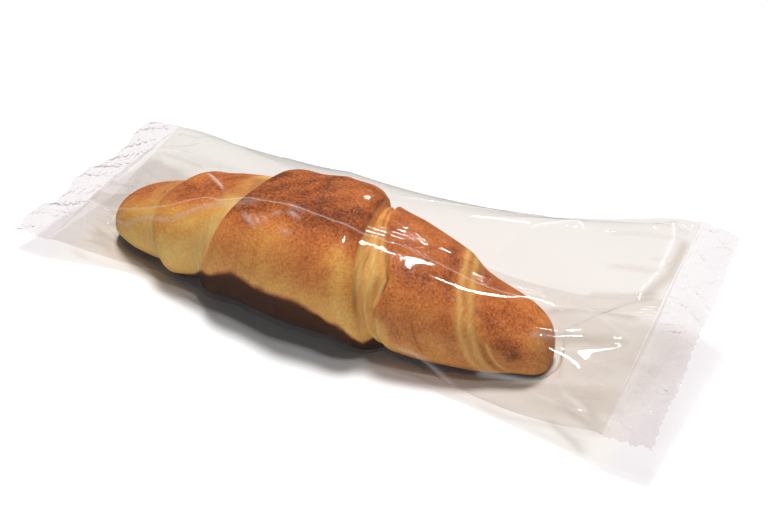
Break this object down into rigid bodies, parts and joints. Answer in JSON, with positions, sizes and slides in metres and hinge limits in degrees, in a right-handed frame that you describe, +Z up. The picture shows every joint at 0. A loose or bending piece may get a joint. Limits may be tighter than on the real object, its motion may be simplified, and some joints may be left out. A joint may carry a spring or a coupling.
{
  "type": "wrapped croissant",
  "caption": "Baked croissant sealed in a clear film bag with crimped ends and a long fin seal, lying on its flat underside.",
  "frame": {"origin": "bottom centre of the bag's outline, on the surface that it lies on", "axes": "+X along the croissant, +Z up, -Y towards the side shown in use"},
  "size_m": [0.206, 0.0802, 0.0395],
  "materials": {
    "film": "gloss",
    "crust": "satin"
  },
  "bodies": {
    "root": {"bag": "film"}
  },
  "joints": []
}
